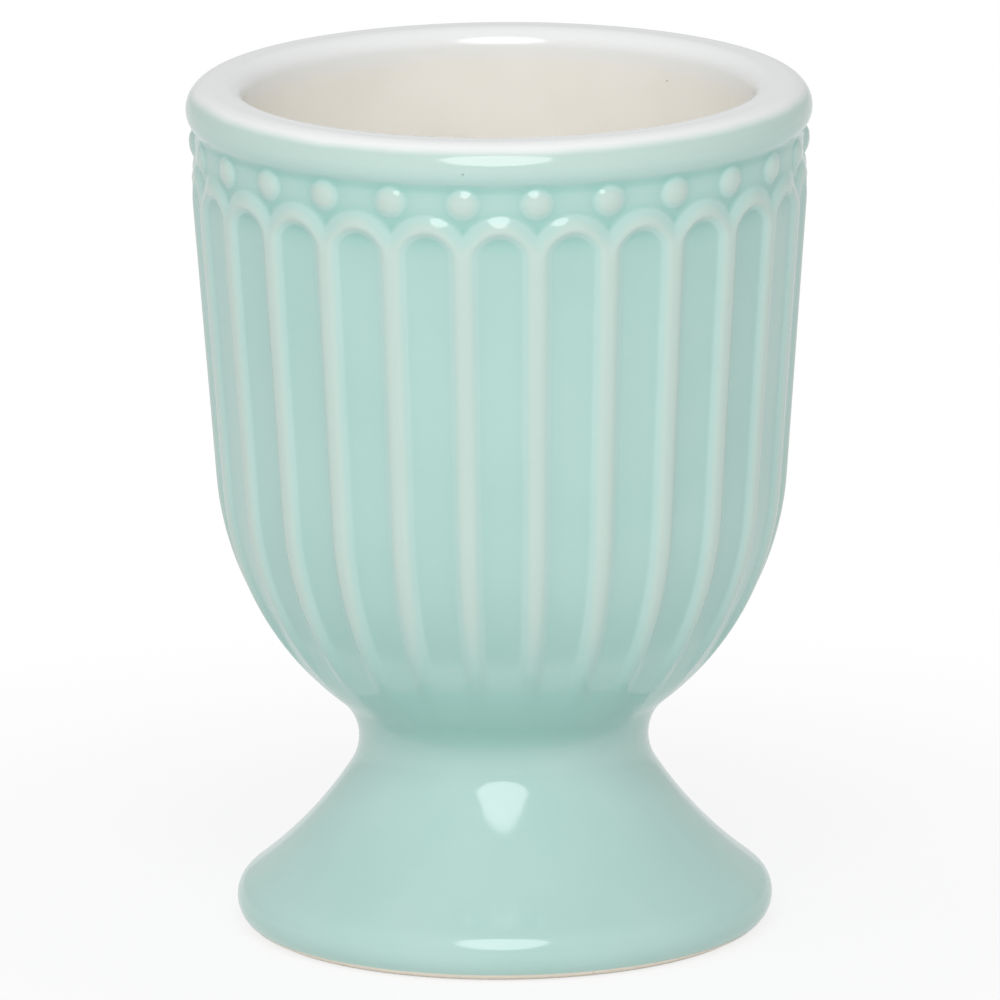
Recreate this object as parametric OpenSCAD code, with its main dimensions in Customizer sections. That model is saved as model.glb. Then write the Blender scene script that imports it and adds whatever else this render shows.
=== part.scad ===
// A fluted egg cup on a flared foot, in glazed stoneware. Millimetres.
// The cup stands on z = 0 with its axis on Z. Its front is at -Y, with a flute at the middle.
// The outside follows one outline of arcs and one straight wall, drawn from the foot to the rim.
// That outline taken in by the glaze thickness is the clay, and the space between is the glaze.

/* [Overall] */
// Height from the table to the top of the rim
cup_h = 67; // [62:0.5:80]
// Radius of the foot at its widest
foot_r = 20.9; // [19.5:0.1:23]
// Radius of the waist at its narrowest
waist_r = 11.3; // [10.5:0.1:12]
// Height of the waist above the table
waist_h = 15; // [14:0.1:16.5]
// Thickness of the fired glaze
glaze_t = 0.3; // [0.2:0.05:0.35]

/* [Foot] */
// Radius of the rounded edge of the foot
edge_r = 2.25; // [1.8:0.05:2.6]
// Radius of the hollow curve from the waist to the edge of the foot
flare_r = 34; // [28:0.5:45]
// Width of the flat ring that the foot stands on
ring_w = 1.85; // [1.2:0.05:2.6]
// Thickness of the clay between the waist and the hollow under the foot
web_t = 4; // [3.5:0.1:7]
// Height of the bare clay, wiped clean of glaze around the ring
bare_h = 0.7; // [0.5:0.1:1]
// Thickness of the slip that joins the bowl to the foot
slip_t = 0.8; // [0.5:0.1:1.2]

/* [Bowl] */
// Radius of the hollow curve at the waist
waist_curve_r = 4.25; // [3.6:0.05:4.8]
// Angle from upright at which the waist curve meets the round of the bowl
bowl_spring = 51.8; // [49:0.1:54]
// Outward lean of the wall
wall_lean = 4.25; // [3.8:0.05:4.6]
// Thickness of the clay between the waist and the floor inside the bowl
floor_t = 5.2; // [4.5:0.1:7]
// Inner radius at the top of the inner wall
mouth_r = 19.8; // [19:0.1:21]
// Outward lean of the inner wall
inner_lean = 2.5; // [1.5:0.1:3]

/* [Rim] */
// Width of the rim, from the mouth to its outside
rim_w = 4.5; // [4.3:0.05:5]
// Radius of the rounded outside of the rim
roll_r = 1.95; // [1.7:0.05:2]
// Radius of the rounded inside of the rim
lip_r = 1.5; // [1.2:0.05:2]
// Depth of the groove under the rim, from the rim's outside
groove_d = 0.8; // [0.7:0.05:1]
// Height of the slope that leads down into the groove
groove_w = 0.3; // [0.2:0.05:0.4]
// Distance from the rim's outside to where the white glaze meets the mint glaze
white_in = 1; // [0.9:0.05:1.4]
// Distance of the line of the wall inside the rim's outside, at the groove
wall_in = 0.05; // [0:0.01:0.2]

/* [Fluting] */
// Number of flutes, and of the ribs and beads between them
flute_n = 26; // [24:1:28]
// Depth of the flutes, and of the plain band under the rim
relief_d = 0.5; // [0.35:0.05:0.6]
// Width of a rib where the flutes are widest
rib_w = 1.5; // [1.2:0.1:1.9]
// Radius of the round head of a flute
head_r = 2.3; // [2.25:0.05:2.6]
// Width of the moulding around the head of a flute
arch_w = 1.25; // [1.1:0.05:1.4]
// Height from the top of the arches up to the groove
band_h = 2.4; // [2.2:0.1:2.8]
// Angle from upright of the underside where the flutes run out
flute_end = 46; // [42:1:47]
// Angle from upright of the underside where the flutes reach their full depth
flute_full = 30; // [22:1:34]

/* [Beads] */
// Radius of a bead where it meets the band
bead_r = 1.15; // [0.9:0.05:1.2]
// Height that a bead stands out from the band
bead_h = 0.4; // [0.3:0.05:0.6]
// Height from the middle of the beads up to the groove
bead_drop = 1.2; // [1.2:0.05:1.5]

/* [Hidden] */
$fn = 64;
// Furthest that a chord lies from its arc
arc_sag = 0.03;
// Overrun of the cuts
over = 1;

// Arcs as chords. The normal of the surface turns from a0 to a1, and a hollow arc has a radius below zero
function dir(a) = [cos(a), sin(a)];
function angle_of(v) = atan2(v[1], v[0]);
function chords(r, turn) = max(2, ceil(abs(turn) / (2 * acos(1 - arc_sag / r))));
function arc(c, r, a0, a1, n, first = 0) = [for (i = [first:n]) c + r * dir(a0 + (a1 - a0) * i / n)];

// Sizes that follow the mouth and the waist
rim_r = mouth_r + rim_w;
groove_r = rim_r - groove_d;
white_r = rim_r - white_in;
floor_h = waist_h + floor_t;
ring_in_r = foot_r - edge_r - ring_w;
well_h = waist_h - web_t;

// Centres of the outside's arcs, as radius from the axis and height
edge_c = [foot_r - edge_r, edge_r];
waist_c = [waist_r + waist_curve_r, waist_h];
roll_c = [rim_r - roll_r, cup_h - roll_r];

// The flare touches both the edge arc and the waist arc
edge_to_waist = waist_c - edge_c;
flare_span = norm(edge_to_waist);
flare_unit = edge_to_waist / flare_span;
flare_along = (pow(flare_r + edge_r, 2) - pow(flare_r - waist_curve_r, 2) + pow(flare_span, 2)) / (2 * flare_span);
flare_aside = sqrt(pow(flare_r + edge_r, 2) - pow(flare_along, 2));
flare_c = edge_c + flare_along * flare_unit + flare_aside * [flare_unit[1], -flare_unit[0]];
flare_low = angle_of(flare_c - edge_c);
flare_high = angle_of(flare_c - waist_c);

// The groove, where the rounded rim starts
groove_turn = -acos((groove_r - roll_c[0]) / roll_r);
groove_h = roll_c[1] + roll_r * sin(groove_turn);

// The round of the bowl starts where the waist curve ends, and touches the line of the wall
spring = waist_c - waist_curve_r * dir(-bowl_spring);
wall_top = [rim_r - wall_in, groove_h];
bowl_curve_r = (wall_top - spring) * dir(-wall_lean) / (1 - cos(bowl_spring - wall_lean));
bowl_c = spring - bowl_curve_r * dir(-bowl_spring);

// The straight wall leaves the round of the bowl and runs up to the groove
wall_foot = bowl_c + bowl_curve_r * dir(-wall_lean);
function wall_at(z, depth) = [wall_foot[0] + (z - wall_foot[1]) * tan(wall_lean) - depth / cos(wall_lean), z];
arch_top = groove_h - band_h;

// Section of the whole outside, taken in by t, solid to the axis
module outline(t) {
    flare_n = chords(flare_r, flare_low - flare_high);
    waist_n = chords(waist_curve_r, flare_high + bowl_spring);
    bowl_n = chords(bowl_curve_r, bowl_spring - wall_lean);
    polygon(concat(
        [[0, t]],
        arc(edge_c, edge_r - t, -90, flare_low, chords(edge_r, 90 + flare_low)),
        arc(flare_c, -flare_r - t, flare_low, flare_high, flare_n, 1),
        arc(waist_c, -waist_curve_r - t, flare_high, -bowl_spring, waist_n, 1),
        arc(bowl_c, bowl_curve_r - t, -bowl_spring, -wall_lean, bowl_n, 1),
        [wall_at(arch_top - t, t), wall_at(arch_top - t, t + relief_d), wall_at(groove_h - groove_w, t + relief_d)],
        arc(roll_c, roll_r - t, groove_turn, 90, chords(roll_r, 90 - groove_turn)),
        [[0, cup_h - t]]
    ));
}

// Inside of the bowl, let out by t: a round floor, a leaning wall and the rounded lip
lip_c = [mouth_r + lip_r, cup_h - lip_r];
lip_turn = 180 - inner_lean;
lip_end = lip_c + lip_r * dir(lip_turn);
inner_r = (lip_end[0] * cos(inner_lean) - (lip_end[1] - floor_h) * sin(inner_lean)) / (1 - sin(inner_lean));
inner_c = [0, floor_h + inner_r];
module cavity(t) {
    polygon(concat(
        arc(inner_c, inner_r + t, -90, -inner_lean, chords(inner_r, 90 - inner_lean)),
        arc(lip_c, lip_r - t, lip_turn, 90, chords(lip_r, lip_turn - 90)),
        [[lip_c[0], cup_h + over], [0, cup_h + over]]
    ));
}

// Hollow under the foot, let out by t: part of a ball that meets the table at the ring
well_r = (pow(ring_in_r, 2) + pow(well_h, 2)) / (2 * well_h);
module well(t) translate([0, well_h - well_r]) circle(well_r + t);

// The part of a section between two heights
module between(low, high) {
    intersection() {
        children();
        translate([0, low]) square([rim_r + over, high - low]);
    }
}

// Places on the wall that the fluting is set out from
pitch = 360 / flute_n;
head_h = arch_top - arch_w - head_r;
rib_turn_r = wall_at(head_h, 0)[0];
half_bay = rib_turn_r * tan(pitch / 2);
function rib_turn(t) = (rib_w - 2 * t) / rib_turn_r * 180 / PI;

// Depth of a flute's floor where the surface faces the angle a
function floor_depth(a) = -a < flute_full
    ? relief_d
    : relief_d * (1 - pow((-a - flute_full) / (flute_end - flute_full), 2));

// Upright block with a round head, that runs outwards at the front from the distance start
module headed_block(r, start) {
    translate([0, -start, 0])
        rotate([90, 0, 0])
            linear_extrude(rim_r + over) {
                translate([0, head_h]) circle(r);
                translate([-r, 0]) square([2 * r, head_h]);
            }
}

// What is cut away for the flute at the front
module flute_cut(t) {
    lead = flute_end + (flute_end - flute_full) / 8;
    turn = pitch - rib_turn(t);
    floor_line = [
        for (p = [0:chords(bowl_curve_r, lead - wall_lean)])
            let (a = -lead + (lead - wall_lean) * p / chords(bowl_curve_r, lead - wall_lean))
                bowl_c + (bowl_curve_r - t - floor_depth(a)) * dir(a)
    ];
    intersection() {
        rotate([0, 0, -90 - turn / 2])
            rotate_extrude(angle = turn)
                polygon(concat(
                    floor_line,
                    [wall_at(arch_top, t + relief_d), [rim_r + over, arch_top], [rim_r + over, floor_line[0][1]]]
                ));
        headed_block(head_r + t, waist_r);
    }
}

// What is cut away at the front for the gap between two arches, above a rib
gap_share = 0.75;
gap_depth_share = 0.85;
module gap_cut(t) {
    intersection() {
        rotate([0, 0, -90 - pitch])
            rotate_extrude(angle = 2 * pitch)
                polygon([
                    wall_at(head_h, t + gap_depth_share * relief_d),
                    wall_at(arch_top + over, t + gap_depth_share * relief_d),
                    [rim_r + over, arch_top + over],
                    [rim_r + over, head_h]
                ]);
        translate([0, -mouth_r, 0])
            rotate([90, 0, 0])
                linear_extrude(rim_r + over)
                    difference() {
                        translate([-gap_share * half_bay - t, head_h])
                            square([2 * (gap_share * half_bay + t), cup_h - head_h]);
                        for (side = [-1, 1])
                            translate([side * half_bay, head_h]) circle(head_r + arch_w - t);
                    }
    }
}

// One bead, a cap of a ball that stands on the band above a rib
bead_ball_r = (pow(bead_r, 2) + pow(bead_h, 2)) / (2 * bead_h);
bead_c = wall_at(groove_h - bead_drop, relief_d) + (bead_h - bead_ball_r) * dir(-wall_lean);
module bead(t) {
    rotate([0, 0, -90 + pitch / 2])
        translate([bead_c[0], 0, bead_c[1]])
            sphere(bead_ball_r - t);
}

// A turned form of the section given, with its flutes, arches and beads taken in by t
module fluted(t) {
    difference() {
        rotate_extrude() children();
        for (i = [0:flute_n - 1]) rotate([0, 0, i * pitch]) flute_cut(t);
        for (i = [0:flute_n - 1]) rotate([0, 0, (i + 1 / 2) * pitch]) gap_cut(t);
    }
    for (i = [0:flute_n - 1]) rotate([0, 0, i * pitch]) bead(t);
}

// Heights of the two faces of the slip joint at the waist
joint_low = waist_h - slip_t / 2;
joint_high = waist_h + slip_t / 2;

module bowl() {
    color("antiquewhite")
        fluted(glaze_t)
            between(joint_high, cup_h)
                difference() {
                    outline(glaze_t);
                    cavity(glaze_t);
                }
}

module foot() {
    color("linen")
        rotate_extrude() {
            between(bare_h, joint_low)
                difference() {
                    outline(glaze_t);
                    well(glaze_t);
                }
            between(0, bare_h)
                difference() {
                    outline(0);
                    well(0);
                }
        }
}

module luting_slip() {
    color("tan")
        rotate_extrude()
            between(joint_low, joint_high) outline(glaze_t);
}

module outer_glaze() {
    color("#aedccf")
        difference() {
            fluted(0)
                difference() {
                    between(bare_h, cup_h) outline(0);
                    translate([0, roll_c[1]]) square([white_r, roll_r + over]);
                }
            fluted(glaze_t) outline(glaze_t);
        }
}

module liner_glaze() {
    color("ivory")
        rotate_extrude()
            difference() {
                intersection() {
                    outline(0);
                    union() {
                        cavity(glaze_t);
                        translate([0, roll_c[1]]) square([white_r, roll_r + over]);
                    }
                }
                cavity(0);
                difference() {
                    outline(glaze_t);
                    cavity(glaze_t);
                }
            }
}

module foot_well_glaze() {
    color("#bfe6da")
        rotate_extrude()
            between(bare_h, joint_low)
                difference() {
                    well(glaze_t);
                    well(0);
                }
}

bowl();
foot();
luting_slip();
outer_glaze();
liner_glaze();
foot_well_glaze();
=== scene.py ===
"""A fluted egg cup in mint and cream glaze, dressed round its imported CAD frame, in metres."""

import math

import bpy
from mathutils import Matrix, Vector


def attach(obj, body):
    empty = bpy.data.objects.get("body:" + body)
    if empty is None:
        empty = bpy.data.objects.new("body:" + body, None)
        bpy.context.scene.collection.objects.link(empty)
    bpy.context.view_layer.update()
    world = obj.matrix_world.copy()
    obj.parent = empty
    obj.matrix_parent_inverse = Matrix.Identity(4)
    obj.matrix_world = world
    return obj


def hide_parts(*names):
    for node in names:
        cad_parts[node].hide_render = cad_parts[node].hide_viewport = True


MM = 0.001

# Sizes of the cup in millimetres and degrees, as in the part's source
CUP_H = 67.0
FOOT_R = 20.9
WAIST_R = 11.3
WAIST_H = 15.0
GLAZE_T = 0.3
EDGE_R = 2.25
FLARE_R = 34.0
BARE_H = 0.7
WAIST_CURVE_R = 4.25
BOWL_SPRING = 51.8
WALL_LEAN = 4.25
FLOOR_T = 5.2
MOUTH_R = 19.8
INNER_LEAN = 2.5
RIM_W = 4.5
ROLL_R = 1.95
LIP_R = 1.5
GROOVE_D = 0.8
WHITE_IN = 1.0
WALL_IN = 0.05
FLUTES = 26
RELIEF_D = 0.5
RIB_W = 1.5
HEAD_R = 2.3
ARCH_W = 1.25
BAND_H = 2.4
FLUTE_END = 46.0
FLUTE_FULL = 30.0
BEAD_R = 1.15
BEAD_H = 0.4
BEAD_DROP = 1.2

RIM_R = MOUTH_R + RIM_W
GROOVE_R = RIM_R - GROOVE_D
WHITE_R = RIM_R - WHITE_IN
FLOOR_H = WAIST_H + FLOOR_T

# Angle round the axis, in degrees, of the side that faces the camera
FRONT = -90.0


# Outline of the cup, as distance from the axis and height


def way(turn):
    """Unit step at an angle in degrees."""
    return Vector((math.cos(math.radians(turn)), math.sin(math.radians(turn))))


def turn_of(step):
    """Angle of a step in degrees."""
    return math.degrees(math.atan2(step.y, step.x))


EDGE_C = Vector((FOOT_R - EDGE_R, EDGE_R))
WAIST_C = Vector((WAIST_R + WAIST_CURVE_R, WAIST_H))
ROLL_C = Vector((RIM_R - ROLL_R, CUP_H - ROLL_R))
LIP_C = Vector((MOUTH_R + LIP_R, CUP_H - LIP_R))
GROOVE_TURN = -math.degrees(math.acos((GROOVE_R - ROLL_C.x) / ROLL_R))
GROOVE_H = ROLL_C.y + ROLL_R * way(GROOVE_TURN).y
WHITE_TURN = math.degrees(math.acos((WHITE_R - ROLL_C.x) / ROLL_R))


def bowl_round():
    """Centre and radius of the underside, from the waist's curve to the line of the wall."""
    spring = WAIST_C - WAIST_CURVE_R * way(-BOWL_SPRING)
    reach = (Vector((RIM_R - WALL_IN, GROOVE_H)) - spring).dot(way(-WALL_LEAN))
    radius = reach / (1 - way(BOWL_SPRING - WALL_LEAN).x)
    return spring - radius * way(-BOWL_SPRING), radius


BOWL_C, BOWL_CURVE_R = bowl_round()
WALL_FOOT = BOWL_C + BOWL_CURVE_R * way(-WALL_LEAN)


def flare_centre():
    """Centre of the arc that touches the edge of the foot and the waist."""
    span = WAIST_C - EDGE_C
    low, high = FLARE_R + EDGE_R, FLARE_R - WAIST_CURVE_R
    along = (low**2 - high**2 + span.length**2) / (2 * span.length)
    aside = math.sqrt(low**2 - along**2)
    unit = span.normalized()
    return EDGE_C + along * unit + aside * Vector((unit.y, -unit.x))


FLARE_C = flare_centre()
FLARE_LOW = turn_of(FLARE_C - EDGE_C)
FLARE_HIGH = turn_of(FLARE_C - WAIST_C)


def wall_at(height, depth=0.0):
    """Place on the straight wall, or under it by a depth."""
    lean = math.radians(WALL_LEAN)
    out = WALL_FOOT.x + (height - WALL_FOOT.y) * math.tan(lean)
    return Vector((out - depth / math.cos(lean), height))


ARCH_TOP = GROOVE_H - BAND_H
HEAD_H = ARCH_TOP - ARCH_W - HEAD_R
HEAD_WALL_R = wall_at(HEAD_H).x
BEAD_Z = GROOVE_H - BEAD_DROP


def arc(centre, radius, start, end, step):
    """Places along an arc with the way each faces. A hollow arc has a radius below zero."""
    count = max(2, math.ceil(abs(math.radians(end - start) * radius) / step))
    turns = [start + (end - start) * i / count for i in range(count + 1)]
    return [(centre + radius * way(turn), turn) for turn in turns]


def straight(low, high, turn, step):
    """Places along a straight line that faces one way."""
    count = max(1, math.ceil((high - low).length / step))
    return [(low.lerp(high, i / count), turn) for i in range(count + 1)]


def rounded(corner, before, after, turn_before, turn_after, count):
    """Places along a small curve that takes a corner off."""
    places = []
    for i in range(count + 1):
        share = i / count
        place = before.lerp(corner, share).lerp(corner.lerp(after, share), share)
        places.append((place, turn_before + (turn_after - turn_before) * share))
    return places


# Meshes made from turned rows of points


def ring(rows, inset, columns):
    """Points of a turned surface, with the way that each faces."""
    points, facings = [], []
    for place, turn, *_ in rows:
        spot = place - inset * way(turn)
        for i in range(columns):
            side = way(FRONT + 360 * i / columns)
            points.append((spot.x * side.x, spot.x * side.y, spot.y))
            facings.append((way(turn).x * side.x, way(turn).x * side.y, way(turn).y))
    return points, facings


def ring_faces(first, rows, columns, outward):
    """Quads between neighbouring rows of a turned surface."""
    faces = []
    for row in range(rows - 1):
        for i in range(columns):
            low, high = first + row * columns, first + (row + 1) * columns
            j = (i + 1) % columns
            face = (low + i, low + j, high + j, high + i)
            faces.append(face if outward else face[::-1])
    return faces


def rim_faces(outer, inner, columns, share, outward):
    """Faces that close a rim between an outer row and an inner row with fewer points."""
    faces = []
    for i in range(columns):
        a, b = inner + i, inner + (i + 1) % columns
        fine = [outer + (i * share + k) % (columns * share) for k in range(share + 1)]
        half = share // 2
        for k in range(share):
            corner = a if k < share - half else b
            faces.append((fine[k], fine[k + 1], corner))
        faces.append((fine[share - half], b, a))
    return faces if outward else [face[::-1] for face in faces]


def new_piece(name, points, faces):
    """A smooth mesh piece from points in millimetres."""
    mesh = bpy.data.meshes.new(name)
    mesh.from_pydata([tuple(MM * c for c in point) for point in points], [], faces)
    mesh.shade_smooth()
    piece = bpy.data.objects.new(name, mesh)
    bpy.context.scene.collection.objects.link(piece)
    return piece


def add_values(mesh, name, kind, values):
    """Stores one value a point under a name, for the trees to read."""
    attribute = mesh.attributes.new(name, kind, "POINT")
    flat = [c for value in values for c in value] if kind == "FLOAT_VECTOR" else values
    attribute.data.foreach_set("vector" if kind == "FLOAT_VECTOR" else "value", flat)


def mark_sharp(mesh, rows):
    """Marks as sharp the edges that run along the given rows of points."""
    sharp = mesh.attributes.new("sharp_edge", "BOOLEAN", "EDGE")
    owner = {}
    for number, points in enumerate(rows):
        for point in points:
            owner[point] = number
    flags = []
    for edge in mesh.edges:
        a, b = (owner.get(v) for v in edge.vertices)
        flags.append(a is not None and a == b)
    sharp.data.foreach_set("value", flags)


# The outer coat of glaze: a thin closed shell, turned from the outline and then carved

COLUMNS = FLUTES * 24
INNER_COLUMNS = FLUTES * 4

# Greatest distance in millimetres from one row of the coat to the next
EDGE_STEP = 0.42
FLARE_STEP = 0.9
WAIST_STEP = 0.45
BOWL_STEP = 0.75
FLUTE_STEP = 1.2
ARCADE_STEP = 0.22
ROLL_STEP = 0.2

# The groove's corner in the glaze: its rounding on each side, the rows of it, and how far the
# corner lies in from the band
GROOVE_SOFT = 0.5
GROOVE_ROWS = 6
GLAZED_GROOVE_D = 0.06


def groove_rows():
    """The rounded corner between the sunk band and the roll, and the turn where the roll starts."""
    band_end = wall_at(GROOVE_H - GROOVE_SOFT, RELIEF_D)
    groove_x = wall_at(GROOVE_H, RELIEF_D).x - GLAZED_GROOVE_D
    groove_turn = -math.degrees(math.acos((groove_x - ROLL_C.x) / ROLL_R))
    groove = ROLL_C + ROLL_R * way(groove_turn)
    roll_turn = groove_turn + math.degrees(GROOVE_SOFT / ROLL_R)
    roll_start = ROLL_C + ROLL_R * way(roll_turn)
    hollow = rounded(groove, band_end, roll_start, -WALL_LEAN, roll_turn, GROOVE_ROWS)
    return hollow, roll_turn


def coat_rows():
    """Rows of the coat's outer face from the foot to the rim, as (place, facing, carved, beaded)."""
    bare_turn = -math.degrees(math.asin((EDGE_R - BARE_H) / EDGE_R))
    wall_end = wall_at(GROOVE_H - GROOVE_SOFT)
    plain = arc(EDGE_C, EDGE_R, bare_turn, FLARE_LOW, EDGE_STEP)
    plain += arc(FLARE_C, -FLARE_R, FLARE_LOW, FLARE_HIGH, FLARE_STEP)[1:]
    plain += arc(WAIST_C, -WAIST_CURVE_R, FLARE_HIGH, -BOWL_SPRING, WAIST_STEP)[1:]
    carved = arc(BOWL_C, BOWL_CURVE_R, -BOWL_SPRING, -WALL_LEAN, BOWL_STEP)[1:]
    carved += straight(WALL_FOOT, wall_at(HEAD_H), -WALL_LEAN, FLUTE_STEP)[1:]
    carved += straight(wall_at(HEAD_H), wall_end, -WALL_LEAN, ARCADE_STEP)[1:]
    hollow, roll_turn = groove_rows()
    roll = arc(ROLL_C, ROLL_R, roll_turn, WHITE_TURN, ROLL_STEP)
    rows = [(place, turn, 0.0, 0.0) for place, turn in plain]
    rows += [(place, turn, 1.0, 1.0) for place, turn in carved]
    rows += [(place, turn, 0.0, 1.0) for place, turn in hollow[1:]]
    rows += [(place, turn, 0.0, 0.0) for place, turn in roll[1:]]
    return rows


def flute_share(turn):
    """Share of its full depth that a flute has where the bowl faces a turn."""
    run_out = (-turn - FLUTE_FULL) / (FLUTE_END - FLUTE_FULL)
    run_out = min(1.0, max(0.0, run_out))
    return 1 - run_out * run_out * (3 - 2 * run_out)


def level_of(place, carved):
    """Metres that a plain row by the groove lies in from the line of the wall, below zero."""
    if carved or not ARCH_TOP < place.y < ROLL_C.y:
        return 0.0
    return min(0.0, place.x - wall_at(place.y).x) * MM


def coat_faces(rows, first_inner):
    """Faces of the coat's outer and inner side and of its two rims."""
    last_outer = (rows - 1) * COLUMNS
    last_inner = first_inner + (rows - 1) * INNER_COLUMNS
    share = COLUMNS // INNER_COLUMNS
    faces = ring_faces(0, rows, COLUMNS, True)
    faces += ring_faces(first_inner, rows, INNER_COLUMNS, False)
    faces += rim_faces(0, first_inner, INNER_COLUMNS, share, False)
    faces += rim_faces(last_outer, last_inner, INNER_COLUMNS, share, True)
    outer_ends = [range(first, first + COLUMNS) for first in (0, last_outer)]
    inner_ends = [range(first, first + INNER_COLUMNS) for first in (first_inner, last_inner)]
    return faces, outer_ends + inner_ends


def plain_coat():
    """The coat before its relief is carved, with the values that the carving reads."""
    rows = coat_rows()
    points, facings = ring(rows, 0.0, COLUMNS)
    inner_points, inner_facings = ring(rows, GLAZE_T, INNER_COLUMNS)
    faces, ends = coat_faces(len(rows), len(points))
    coat = new_piece("mint_coat", points + inner_points, faces)
    per_row = {
        "carved": [carved for _, _, carved, _ in rows],
        "beaded": [beaded for _, _, _, beaded in rows],
        "flute_share": [flute_share(turn) * carved for _, turn, carved, _ in rows],
        "row_level": [level_of(place, carved) for place, _, carved, _ in rows],
    }
    for name, levels in per_row.items():
        values = [v for count in (COLUMNS, INNER_COLUMNS) for v in levels for _ in range(count)]
        add_values(coat.data, name, "FLOAT", values)
    add_values(coat.data, "outward", "FLOAT_VECTOR", facings + inner_facings)
    mark_sharp(coat.data, ends)
    return coat


# Node trees, written as sums

# A Mix node's sockets for colours share their names with its others, so they go by number
MIX_FACTOR, MIX_BELOW, MIX_ABOVE, MIX_RESULT = 0, 6, 7, 2


class Wire:
    """A socket's value in a node tree, which Python's signs add Math nodes to."""

    def __init__(self, tree, socket):
        self.tree = tree
        self.socket = socket

    def node(self, kind, inputs=None, output=0, **settings):
        """Adds a node of a type, sets it, and gives one of its outputs."""
        made = self.tree.nodes.new(kind)
        for name, value in settings.items():
            setattr(made, name, value)
        for key, value in (inputs or {}).items():
            if isinstance(value, Wire):
                self.tree.links.new(value.socket, made.inputs[key])
            else:
                made.inputs[key].default_value = value
        return Wire(self.tree, made.outputs[output])

    def sum(self, operation, *values):
        """Adds a Math node that works on the values given."""
        return self.node("ShaderNodeMath", dict(enumerate(values)), operation=operation)

    def __add__(self, other):
        return self.sum("ADD", self, other)

    def __radd__(self, other):
        return self.sum("ADD", other, self)

    def __sub__(self, other):
        return self.sum("SUBTRACT", self, other)

    def __rsub__(self, other):
        return self.sum("SUBTRACT", other, self)

    def __mul__(self, other):
        return self.sum("MULTIPLY", self, other)

    def __rmul__(self, other):
        return self.sum("MULTIPLY", other, self)

    def __truediv__(self, other):
        return self.sum("DIVIDE", self, other)

    def __rtruediv__(self, other):
        return self.sum("DIVIDE", other, self)

    def __neg__(self):
        return self.sum("MULTIPLY", self, -1.0)

    def least(self, other):
        return self.sum("MINIMUM", self, other)

    def most(self, other):
        return self.sum("MAXIMUM", self, other)

    def size(self):
        return self.sum("ABSOLUTE", self)

    def root(self):
        return self.sum("SQRT", self.most(0.0))

    def ease(self, low, high):
        """0 up to low and 1 from high on, with a soft step between them."""
        values = {"Value": self, "From Min": low, "From Max": high}
        return self.node("ShaderNodeMapRange", values, interpolation_type="SMOOTHSTEP")

    def mix(self, below, above):
        """Colour that goes from one to the other as this value goes from 0 to 1."""
        values = {MIX_FACTOR: self, MIX_BELOW: below, MIX_ABOVE: above}
        return self.node("ShaderNodeMix", values, output=MIX_RESULT, data_type="RGBA")

    def axes(self):
        """The three parts of a vector."""
        parts = self.node("ShaderNodeSeparateXYZ", {"Vector": self})
        return [Wire(self.tree, output) for output in parts.socket.node.outputs]


# Relief of the coat

# What the glaze adds to a bead's radius, and the spandrels' height over the middle of a flute's head
BEAD_SPREAD = 0.15
SPANDREL_RISE = 2.2

RELIEF_INPUTS = {
    "Flutes": FLUTES,
    "Depth": RELIEF_D * MM,
    "Rib width": RIB_W * MM,
    "Rib radius": HEAD_WALL_R * MM,
    "Head radius": HEAD_R * MM,
    "Head height": HEAD_H * MM,
    "Moulding": ARCH_W * MM,
    "Bead radius": (BEAD_R + BEAD_SPREAD) * MM,
    "Bead rise": BEAD_H * MM,
    "Bead height": BEAD_Z * MM,
    "Spandrel height": (HEAD_H + SPANDREL_RISE) * MM,
    "Softness": 0.5 * MM,
    "Slope": 1.45 * MM,
    "Side slope": 1.5,
    "Slope outset": 0.3 * MM,
    "Hollow": 0.3,
    "Fillet": 0.12 * MM,
}

# An arch's outer slope: its straight share, how softly it meets the band, and how many times the
# softness the spandrels take to fade out below their height
SLOPE_STRAIGHT = 0.3
SLOPE_ROUNDING = 0.15
SPANDREL_FADE = 4.2
NEAR_ZERO = 0.0001

# Rounds of blurring. The glaze's tone follows how far the relief stands out from its blurred form
NARROW_BLUR = 14
BROAD_BLUR = 100


def relief_group():
    """The relief's tree with its inputs, and a wire on each of them by name."""
    tree = bpy.data.node_groups.new("glaze_relief", "GeometryNodeTree")
    face = tree.interface
    face.new_socket("Geometry", in_out="INPUT", socket_type="NodeSocketGeometry")
    for name, value in RELIEF_INPUTS.items():
        kind = "NodeSocketInt" if isinstance(value, int) else "NodeSocketFloat"
        face.new_socket(name, in_out="INPUT", socket_type=kind)
    face.new_socket("Glaze", in_out="INPUT", socket_type="NodeSocketMaterial")
    face.new_socket("Geometry", in_out="OUTPUT", socket_type="NodeSocketGeometry")
    start = tree.nodes.new("NodeGroupInput")
    return tree, {socket.name: Wire(tree, socket) for socket in start.outputs if socket.name}


def stored(wire, name, kind="FLOAT"):
    """A value that the mesh holds at each point, under a name."""
    return wire.node("GeometryNodeInputNamedAttribute", {"Name": name}, data_type=kind)


def keep(geometry, name, value):
    """The geometry with a value stored at each point, under a name."""
    values = {"Geometry": geometry, "Name": name, "Value": value}
    settings = {"data_type": "FLOAT", "domain": "POINT"}
    return geometry.node("GeometryNodeStoreNamedAttribute", values, **settings)


def stand_out(tone, rounds):
    """How far each point stands out from its surroundings, in millimetres."""
    blurred = tone.node("GeometryNodeBlurAttribute", {"Value": tone, "Iterations": rounds})
    return (tone - blurred) / MM


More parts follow.
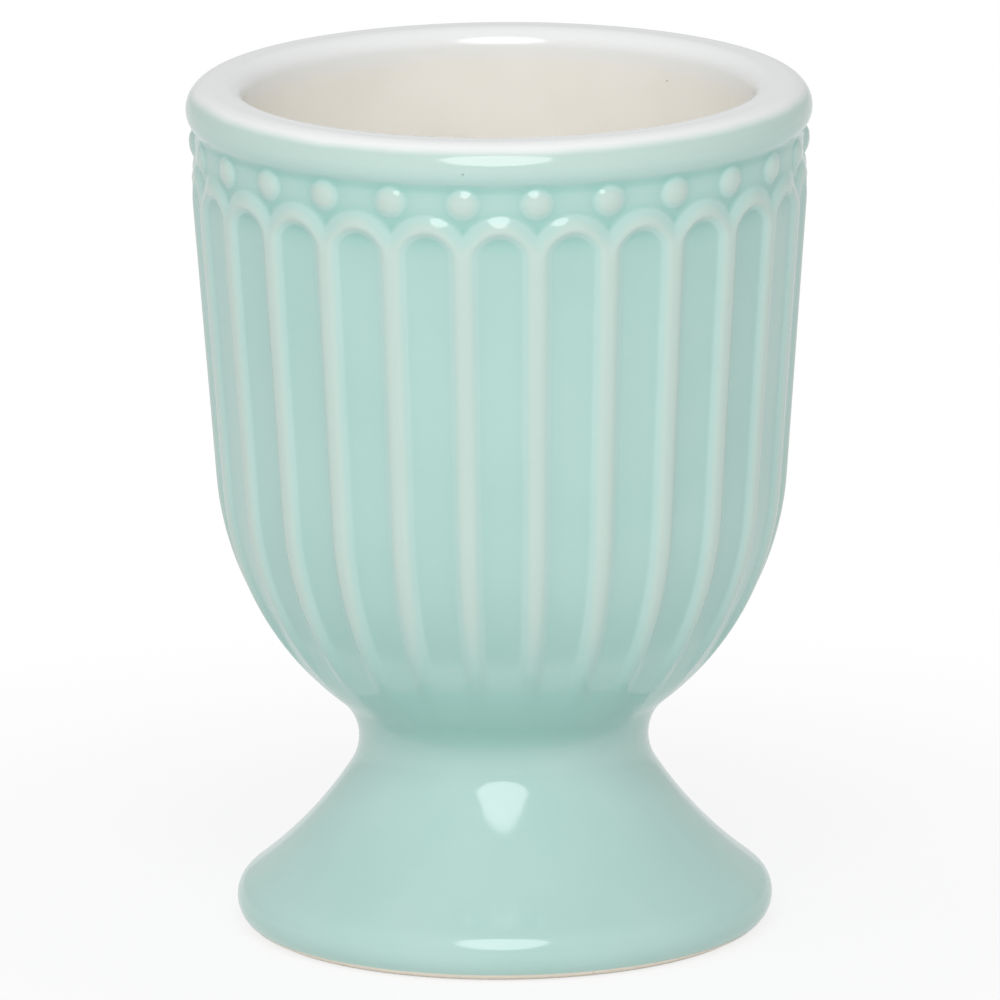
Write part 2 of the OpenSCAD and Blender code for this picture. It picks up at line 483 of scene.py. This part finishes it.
class Spot:
    """Where a point of the coat lies, measured from the middle of its flute and the flute's head."""

    def __init__(self, given):
        # The bay, which is one flute with one rib, and aside are angles, and the rest are lengths
        x, y, self.z = given["Geometry"].node("GeometryNodeInputPosition").axes()
        self.reach = (x * x + y * y).root()
        self.bay = math.tau / given["Flutes"]
        turn = x.sum("ARCTAN2", x, -y) / self.bay
        self.aside = (turn - turn.sum("ROUND", turn)).size() * self.bay
        self.across = self.aside.sum("SINE", self.aside) * given["Rib radius"]
        above = (self.z - given["Head height"]).most(0.0)
        self.from_head = (self.across * self.across + above * above).root()


def flute_relief(spot, given):
    """Share of the relief's depth in a flute, which is hollow across and round at its head."""
    half_rib = given["Rib width"] / given["Rib radius"] / 2
    half_flute = spot.bay / 2 - half_rib
    to_rib = (spot.aside - half_flute) * spot.reach
    to_head = spot.from_head - given["Head radius"]
    out_of_flute = to_rib.sum("SMOOTH_MAX", to_rib, to_head, given["Fillet"])
    soft = given["Softness"]
    flute = 1 - out_of_flute.ease(-soft, soft)
    bowed = spot.aside / half_flute
    floor = 1 - given["Hollow"] * (bowed * bowed).least(1.0)
    return flute * floor * stored(given["Geometry"], "flute_share")


def band_relief(spot, given):
    """Share of the relief's depth outside the arches, in the band and the spandrels."""
    to_head = spot.from_head - given["Head radius"]
    to_band = to_head - given["Moulding"] - given["Slope outset"]
    beside_head = spot.across / spot.from_head.most(NEAR_ZERO)
    gentler = 1 + given["Side slope"] * beside_head * beside_head
    slope = (to_band / (given["Slope"] * gentler) + 1).most(0.0)
    curved = slope * SLOPE_STRAIGHT + slope * slope * (1 - SLOPE_STRAIGHT)
    slope = curved.sum("SMOOTH_MIN", curved, 1.0, SLOPE_ROUNDING)
    soft = given["Softness"]
    return slope * (spot.z - given["Spandrel height"]).ease(soft * -SPANDREL_FADE, soft)


def bead_relief(spot, given):
    """How far a bead stands out: the cap of a ball over each rib, with a small fillet round it."""
    beside = (spot.bay / 2 - spot.aside) * spot.reach
    height = spot.z - given["Bead height"]
    away = beside * beside + height * height
    rise = given["Bead rise"]
    ball = (given["Bead radius"] * given["Bead radius"] + rise * rise) / (rise * 2)
    dome = (ball * ball - away).root() - (ball - rise)
    bead = dome.sum("SMOOTH_MAX", dome, 0.0, given["Fillet"])
    return bead * stored(given["Geometry"], "beaded")


def relief_tree():
    """Geometry Nodes that carve flutes, arches and beads into the turned coat."""
    tree, given = relief_group()
    shape = given["Geometry"]
    spot = Spot(given)
    sunk = flute_relief(spot, given).most(band_relief(spot, given))
    depth = given["Depth"] * stored(shape, "carved") * sunk
    lift = bead_relief(spot, given) - depth
    tone = lift + stored(shape, "row_level")
    values = {"Vector": stored(shape, "outward", "FLOAT_VECTOR"), "Scale": lift}
    push = shape.node("ShaderNodeVectorMath", values, operation="SCALE")
    shape = keep(shape, "crest", stand_out(tone, NARROW_BLUR))
    shape = keep(shape, "ridge", stand_out(tone, BROAD_BLUR))
    shape = shape.node("GeometryNodeSetPosition", {"Geometry": shape, "Offset": push})
    shape = shape.node("GeometryNodeRealizeInstances", {"Geometry": shape})
    values = {"Geometry": shape, "Material": given["Glaze"]}
    shape = shape.node("GeometryNodeSetMaterial", values)
    finish = tree.nodes.new("NodeGroupOutput")
    tree.links.new(shape.socket, finish.inputs["Geometry"])
    return tree


def grown(piece, tree, values):
    """Runs a tree on a piece with the values given, and keeps the result as its plain mesh."""
    growth = piece.modifiers.new("growth", "NODES")
    growth.node_group = tree
    for socket in tree.interface.items_tree:
        if socket.in_out == "INPUT" and socket.name in values:
            growth[socket.identifier] = values[socket.name]
    bpy.context.view_layer.update()
    seen = piece.evaluated_get(bpy.context.evaluated_depsgraph_get())
    mesh = bpy.data.meshes.new_from_object(seen)
    piece.modifiers.remove(growth)
    piece.data = mesh
    mesh.name = piece.name
    return piece


# The liner: the cream glaze of the inside, turned as a thin closed shell

LINER_COLUMNS = FLUTES * 12

# Greatest distance in millimetres from one row of the liner to the next
BALL_STEP = 0.8
INNER_WALL_STEP = 1.0
LIP_STEP = 0.16


def inner_ball():
    """Centre and radius of the round floor inside the bowl."""
    lip_end = LIP_C + LIP_R * way(180 - INNER_LEAN)
    lean = math.radians(INNER_LEAN)
    reach = lip_end.x * math.cos(lean) - (lip_end.y - FLOOR_H) * math.sin(lean)
    radius = reach / (1 - math.sin(lean))
    return Vector((0, FLOOR_H + radius)), radius


def liner_rows(inset):
    """Rows from the middle of the floor up the inner wall and over the lip to the white edge."""
    centre, radius = inner_ball()
    top = ROLL_R - inset
    ball = arc(centre, radius + inset, -90.0, -INNER_LEAN, BALL_STEP)
    over_lip = arc(LIP_C, LIP_R - inset, 180.0 - INNER_LEAN, 90.0, LIP_STEP)
    wall = straight(ball[-1][0], over_lip[0][0], 0.0, INNER_WALL_STEP)
    flat = straight(over_lip[-1][0], ROLL_C + top * way(90.0), 0.0, LIP_STEP)
    over_roll = arc(ROLL_C, top, 90.0, WHITE_TURN, LIP_STEP)
    return ball + wall[1:-1] + over_lip + flat[1:-1] + over_roll


def white_liner():
    """The liner as one closed shell. Each face of its round floor has a point in the middle."""
    points, faces, ends = [], [], []
    for inset, inside in (0.0, True), (GLAZE_T, False):
        rows = liner_rows(inset)
        pole, first = len(points), len(points) + 1
        points.append((0.0, 0.0, rows[0][0].y))
        points += ring(rows[1:], 0.0, LINER_COLUMNS)[0]
        for i in range(LINER_COLUMNS):
            fan = (pole, first + i, first + (i + 1) % LINER_COLUMNS)
            faces.append(fan if inside else fan[::-1])
        faces += ring_faces(first, len(rows) - 1, LINER_COLUMNS, not inside)
        ends.append(len(points) - LINER_COLUMNS)
    for i in range(LINER_COLUMNS):
        j = (i + 1) % LINER_COLUMNS
        faces.append((ends[0] + i, ends[0] + j, ends[1] + j, ends[1] + i))
    liner = new_piece("cream_liner", points, faces)
    mark_sharp(liner.data, [range(end, end + LINER_COLUMNS) for end in ends])
    return liner


# Glazes and clays


def paint(red, green, blue):
    """A colour as it is seen, 0 to 255, in the form that a shader takes."""
    parts = [c / 255 for c in (red, green, blue)]
    return tuple(c / 12.92 if c <= 0.04045 else ((c + 0.055) / 1.055) ** 2.4 for c in parts) + (1.0,)


MINT_MID = paint(181, 213, 206)
# Deeper mint for random clouds, for glaze that pools, and for painted shade in the hollows and under
# the bowl
MINT_DEEP_AND_SHADE = paint(145, 194, 184)
MINT_THIN = paint(191, 212, 204)
MINT_PIT = paint(92, 118, 108)
RIM_WHITE = paint(240, 242, 242)
LINER_CREAM = paint(246, 243, 236)
LINER_SHADE = paint(235, 231, 221)
LINER_PIT = paint(150, 140, 120)
CLAY_LIGHT = paint(250, 242, 230)
CLAY_DARK = paint(240, 228, 212)
SLIP_LIGHT = paint(214, 196, 174)
SLIP_DARK = paint(190, 168, 144)
GROG = paint(168, 142, 116)
GLAZE_IOR = 1.58
CLAY_IOR = 1.45

# Pairs of heights in millimetres between which a part of a glaze's tone comes in or goes out
BOWL_IN = (19.0, 32.0)
BAND_OUT = (63.2, 64.2)
BEADS_IN = (61.2, 61.8)
# Heights where the hollows start to darken, as pooled glaze and painted shade
POOLS_AND_SHADE_IN = (20.0, 31.0)
# The band under the bowl above the waist, darkened partly as pooled glaze and partly as painted shade
WAIST_IN = (15.0, 17.8)
WAIST_OUT = (20.0, 29.0)
ROLL_IN = (ROLL_C.y - 1.5, ROLL_C.y + 0.9)
MINT_WHITE_IN = (66.0, 66.72)
LINER_WHITE_IN = (63.5, 66.2)

# Pairs of distances in millimetres between which mint thins, standing out from the surroundings,
# and pools and takes painted shade, lying in from them, and the share of the narrower measure that
# counts for both
THINS = (0.03, 0.33)
POOLS_AND_SHADE = (0.05, 0.25)
CREST_IN_POOLS_AND_SHADE = 0.4

# Millimetres added to what stands out, on the fluted part and by the beads, and as clouds vary it
FLUTES_THIN = 0.05
BEADS_THIN = 0.08
CLOUDS_THIN = 0.05

# Range of the clouds that shows, and the most of each tone that is mixed in
CLOUDS = (0.3, 0.7)
CLOUD_SHARE = 0.15
WAIST_POOL_AND_SHADE_SHARE = 0.5
ROLL_SHARE = 0.75
PIT_SHARE = 0.25
LINER_CLOUD_SHARE = 0.35
LINER_PIT_SHARE = 0.6
CLAY_CLOUD_SHARE = 0.5
CLAY_GRAIN_SHARE = 0.4
GROG_SHARE = 0.5

# How many millimetres the clouds shift the edge of the white by, from lowest to highest
MINT_WANDER = 0.4
LINER_WANDER = 1.0


def new_material(name):
    """An empty material, with its shader and a wire on the object's own coordinates."""
    material = bpy.data.materials.new(name)
    material.use_nodes = True
    tree = material.node_tree
    shader = tree.nodes["Principled BSDF"]
    coordinates = tree.nodes.new("ShaderNodeTexCoord")
    return material, shader, Wire(tree, coordinates.outputs["Object"])


def set_shader(shader, **values):
    """Sets or links the shader's sockets, with _ for a space in their names."""
    for name, value in values.items():
        socket = shader.inputs[name.replace("_", " ")]
        if isinstance(value, Wire):
            value.tree.links.new(value.socket, socket)
        else:
            socket.default_value = value


def mesh_value(place, name):
    """A number that the mesh holds at each point, under a name."""
    return place.node("ShaderNodeAttribute", output="Fac", attribute_name=name)


def between(z, heights):
    """0 below a pair of heights in millimetres and 1 above it, with a soft step between them."""
    low, high = heights
    return z.ease(low * MM, high * MM)


def noise(place, size, detail=2.0, roughness=0.5):
    """Soft random values from 0 to 1, with patches of about the size given in millimetres."""
    values = {"Vector": place, "Scale": 1 / (size * MM), "Detail": detail, "Roughness": roughness}
    return place.node("ShaderNodeTexNoise", values)


def specks(place, spacing, radius):
    """1 inside a few tiny dots that lie far apart, and 0 elsewhere. Sizes are in millimetres."""
    values = {"Vector": place, "Scale": 1 / (spacing * MM)}
    near = place.node("ShaderNodeTexVoronoi", values)
    return 1 - near.ease(0.5 * radius / spacing, radius / spacing)


def bumped(height, distance, over=None):
    """Bump from a height of 0 to 1 that stands for a distance in millimetres."""
    values = {"Height": height, "Distance": distance * MM, "Strength": 1.0}
    if over:
        values["Normal"] = over
    return height.node("ShaderNodeBump", values)


def mint_tone(place, z, cloud):
    """Colour of the mint glaze by its thickness: pale where it is thin, deeper where it pools, with
    painted shade in the hollows under the arches and under the bowl by the waist.
    """
    crest = mesh_value(place, "crest")
    ridge = mesh_value(place, "ridge")
    bowl = between(z, BOWL_IN)
    fluted = bowl * (1 - between(z, BAND_OUT))
    beaded = fluted * between(z, BEADS_IN)
    rise = ridge * bowl + FLUTES_THIN * fluted + BEADS_THIN * beaded
    thin = (rise + (cloud - 0.5) * CLOUDS_THIN).ease(*THINS)
    # Darker in the hollows under the arches: partly glaze that pools, partly painted shade
    pool_and_shade = (-ridge - crest * CREST_IN_POOLS_AND_SHADE).ease(*POOLS_AND_SHADE) * between(z, POOLS_AND_SHADE_IN)
    # Darker under the bowl above the waist: painted shade where the underside faces down, with some
    # pooled glaze
    waist = between(z, WAIST_IN) * (1 - between(z, WAIST_OUT))
    colour = (cloud.ease(*CLOUDS) * CLOUD_SHARE).mix(MINT_MID, MINT_DEEP_AND_SHADE)
    colour = pool_and_shade.most(waist * WAIST_POOL_AND_SHADE_SHARE).mix(colour, MINT_DEEP_AND_SHADE)
    colour = thin.mix(colour, MINT_THIN)
    return (between(z, ROLL_IN) * ROLL_SHARE).mix(colour, MINT_THIN)


def mint_glaze():
    """Mint glaze of the outside and of the hollow in the foot, white by the rim, with pinholes."""
    material, shader, place = new_material("mint_glaze")
    z = place.axes()[2]
    cloud = noise(place, size=9.0)
    fine = noise(place, size=0.9, detail=3.0)
    dots = specks(place, spacing=6.5, radius=0.11)
    wander = (cloud - 0.5) * (MINT_WANDER * MM)
    colour = mint_tone(place, z, cloud)
    colour = between(z + wander, MINT_WHITE_IN).mix(colour, RIM_WHITE)
    colour = (dots * PIT_SHARE).mix(colour, MINT_PIT)
    waves = bumped(noise(place, size=2.4, detail=1.0), distance=0.012)
    set_shader(
        shader,
        Base_Color=colour,
        Roughness=0.075 + 0.05 * fine + 0.2 * dots,
        Normal=bumped(1 - dots, distance=0.05, over=waves),
        IOR=GLAZE_IOR,
    )
    return material


def cream_glaze():
    """Cream glaze of the inside, a colder white over the rim."""
    material, shader, place = new_material("cream_glaze")
    z = place.axes()[2]
    cloud = noise(place, size=8.0)
    fine = noise(place, size=0.7, detail=3.0)
    dots = specks(place, spacing=6.0, radius=0.11)
    wander = (cloud - 0.5) * (LINER_WANDER * MM)
    colour = (cloud.ease(*CLOUDS) * LINER_CLOUD_SHARE).mix(LINER_CREAM, LINER_SHADE)
    colour = between(z + wander, LINER_WHITE_IN).mix(colour, RIM_WHITE)
    colour = (dots * LINER_PIT_SHARE).mix(colour, LINER_PIT)
    set_shader(
        shader,
        Base_Color=colour,
        Roughness=0.09 + 0.06 * fine,
        Normal=bumped(noise(place, size=2.6, detail=1.0), distance=0.01),
        IOR=GLAZE_IOR,
    )
    return material


def fired_clay(name, light, dark):
    """Bare fired clay, matt and finely grained, with a few darker specks of grog."""
    material, shader, place = new_material(name)
    grain = noise(place, size=0.35, detail=4.0, roughness=0.6)
    cloud = noise(place, size=5.0)
    grog = specks(place, spacing=1.6, radius=0.16)
    colour = (cloud * CLAY_CLOUD_SHARE + grain * CLAY_GRAIN_SHARE).mix(light, dark)
    colour = (grog * GROG_SHARE).mix(colour, GROG)
    set_shader(
        shader,
        Base_Color=colour,
        Roughness=0.72 + 0.16 * grain,
        Normal=bumped(grain, distance=0.03),
        IOR=CLAY_IOR,
    )
    return material


def dress_solids(materials):
    """Gives the CAD solids that stay in the scene their materials."""
    for node, material in materials.items():
        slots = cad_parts[node].data.materials
        slots.clear()
        slots.append(material)


# Studio: floor, light and camera

FLOOR_HALF = 1.5
FLOOR_GREY = (0.93, 0.93, 0.93, 1.0)
PLAIN_WHITE = (1.0, 1.0, 1.0, 1.0)

# Distances from the axis in metres between which the floor turns white for the camera, and the
# share of its lit paint that shows by the cup, which keeps the shadow
FLOOR_CLEARS = (0.03, 0.11)
SHADOW_SHARE = 0.2

# Share of plain white that the floor and the world show in glossy reflections, at most
FLOOR_IN_GLOSS = 0.6
WORLD_IN_GLOSS = 0.7


def ray(wire, kind):
    """1 for rays of one kind and 0 for all others."""
    return wire.node("ShaderNodeLightPath", output=f"Is {kind} Ray")


def floor_paint():
    """Matt pale paint that the camera sees as nearly white, with part of the cup's shadow."""
    material, shader, place = new_material("studio_floor")
    tree = material.node_tree
    x, y, _ = place.axes()
    far = (x * x + y * y).root().ease(*FLOOR_CLEARS)
    seen = ray(place, "Camera").most(ray(place, "Glossy") * FLOOR_IN_GLOSS)
    share = seen * (1 - SHADOW_SHARE + SHADOW_SHARE * far)
    set_shader(shader, Base_Color=FLOOR_GREY, Roughness=0.9, Specular_IOR_Level=0.0)
    painted = Wire(tree, shader.outputs["BSDF"])
    white = place.node("ShaderNodeEmission", {"Strength": 1.0})
    mixed = place.node("ShaderNodeMixShader", {0: share, 1: painted, 2: white})
    tree.links.new(mixed.socket, tree.nodes["Material Output"].inputs["Surface"])
    return material


def studio_floor():
    """A pale floor that keeps the cup's shadow and turns white away from it."""
    half = FLOOR_HALF
    corners = [(-half, -half, 0.0), (half, -half, 0.0), (half, half, 0.0), (-half, half, 0.0)]
    mesh = bpy.data.meshes.new("studio_floor")
    mesh.from_pydata(corners, [], [(0, 1, 2, 3)])
    floor = bpy.data.objects.new("studio_floor", mesh)
    bpy.context.scene.collection.objects.link(floor)
    floor.data.materials.append(floor_paint())


def studio_world(strength, leftward):
    """Soft light from all round, more of it from the left, and plain white where the camera looks."""
    world = bpy.data.worlds.new("studio")
    world.use_nodes = True
    bpy.context.scene.world = world
    tree = world.node_tree
    back = tree.nodes["Background"]
    coordinates = tree.nodes.new("ShaderNodeTexCoord")
    toward = Wire(tree, coordinates.outputs["Generated"])
    soft = strength * (1 - leftward * toward.axes()[0])
    glossy = ray(toward, "Glossy")
    white = ray(toward, "Camera").most(ray(toward, "Transmission"))
    level = white + (1 - white) * (glossy * WORLD_IN_GLOSS + (1 - glossy) * soft)
    tree.links.new(level.socket, back.inputs["Strength"])
    back.inputs["Color"].default_value = PLAIN_WHITE


def softbox(name, azimuth, elevation, distance, width, height, power):
    """A rounded lamp that faces the cup. Azimuth -90 is in front, towards the camera."""
    lamp = bpy.data.lights.new(name, "AREA")
    lamp.shape = "ELLIPSE"
    lamp.size, lamp.size_y = width, height
    lamp.energy = power
    box = bpy.data.objects.new(name, lamp)
    bpy.context.scene.collection.objects.link(box)
    level, up = way(elevation)
    side = way(azimuth)
    away = Vector((level * side.x, level * side.y, up))
    target = Vector((0.0, 0.0, CUP_H / 2 * MM))
    box.location = target + away * distance
    box.rotation_mode = "QUATERNION"
    box.rotation_quaternion = away.to_track_quat("Z", "Y")


# The photograph's view of the middle of the cup: its distance, its angles in degrees, its scale,
# and the place in the image where that middle lies
VIEW_DISTANCE = 1520 * MM
VIEW_RISE = 13.1
VIEW_ROLL = -0.43
PIXELS_PER_MM = 12.844
IMAGE_SIDE = 1000
SENSOR = 36.0
CENTRE_X, CENTRE_Y = 501.98, 502.18


def studio_camera():
    """The camera at the photograph's viewing angle. The image is 1000 by 1000."""
    data = bpy.data.cameras.new("camera")
    data.sensor_width = SENSOR
    data.lens = PIXELS_PER_MM * VIEW_DISTANCE / MM * SENSOR / IMAGE_SIDE
    data.shift_x = (IMAGE_SIDE / 2 - CENTRE_X) / IMAGE_SIDE
    data.shift_y = (CENTRE_Y - IMAGE_SIDE / 2) / IMAGE_SIDE
    data.clip_start, data.clip_end = 0.1, 20.0
    camera = bpy.data.objects.new("camera", data)
    bpy.context.scene.collection.objects.link(camera)
    level, up = way(VIEW_RISE)
    place = Vector((0.0, -level * VIEW_DISTANCE, CUP_H / 2 * MM + up * VIEW_DISTANCE))
    tilt = Matrix.Rotation(math.radians(90 - VIEW_RISE), 4, "X")
    roll = Matrix.Rotation(math.radians(VIEW_ROLL), 4, "Z")
    camera.matrix_world = Matrix.Translation(place) @ tilt @ roll
    bpy.context.scene.camera = camera


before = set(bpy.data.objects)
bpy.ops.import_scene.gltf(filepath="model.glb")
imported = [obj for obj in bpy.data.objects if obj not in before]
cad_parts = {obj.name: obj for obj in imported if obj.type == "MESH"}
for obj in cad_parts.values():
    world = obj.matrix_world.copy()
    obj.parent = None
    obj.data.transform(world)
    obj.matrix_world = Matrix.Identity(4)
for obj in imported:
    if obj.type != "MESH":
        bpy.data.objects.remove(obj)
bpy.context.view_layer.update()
bpy.context.scene.view_settings.view_transform = "Standard"

studio_camera()
studio_floor()
studio_world(strength=0.59, leftward=0.16)
softbox(
    "softbox",
    azimuth=-91.5,
    elevation=36.0,
    distance=0.6,
    width=0.38,
    height=0.5,
    power=1.75,
)

mint = mint_glaze()
cream = cream_glaze()
clay = fired_clay("bare_clay", CLAY_LIGHT, CLAY_DARK)
slip = fired_clay("joining_slip", SLIP_LIGHT, SLIP_DARK)
dress_solids({"bowl": clay, "foot": clay, "luting_slip": slip, "foot_well_glaze": mint})

coat = grown(plain_coat(), relief_tree(), {**RELIEF_INPUTS, "Glaze": mint})
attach(coat, "root")
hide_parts("outer_glaze")

liner = white_liner()
liner.data.materials.append(cream)
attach(liner, "root")
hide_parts("liner_glaze")
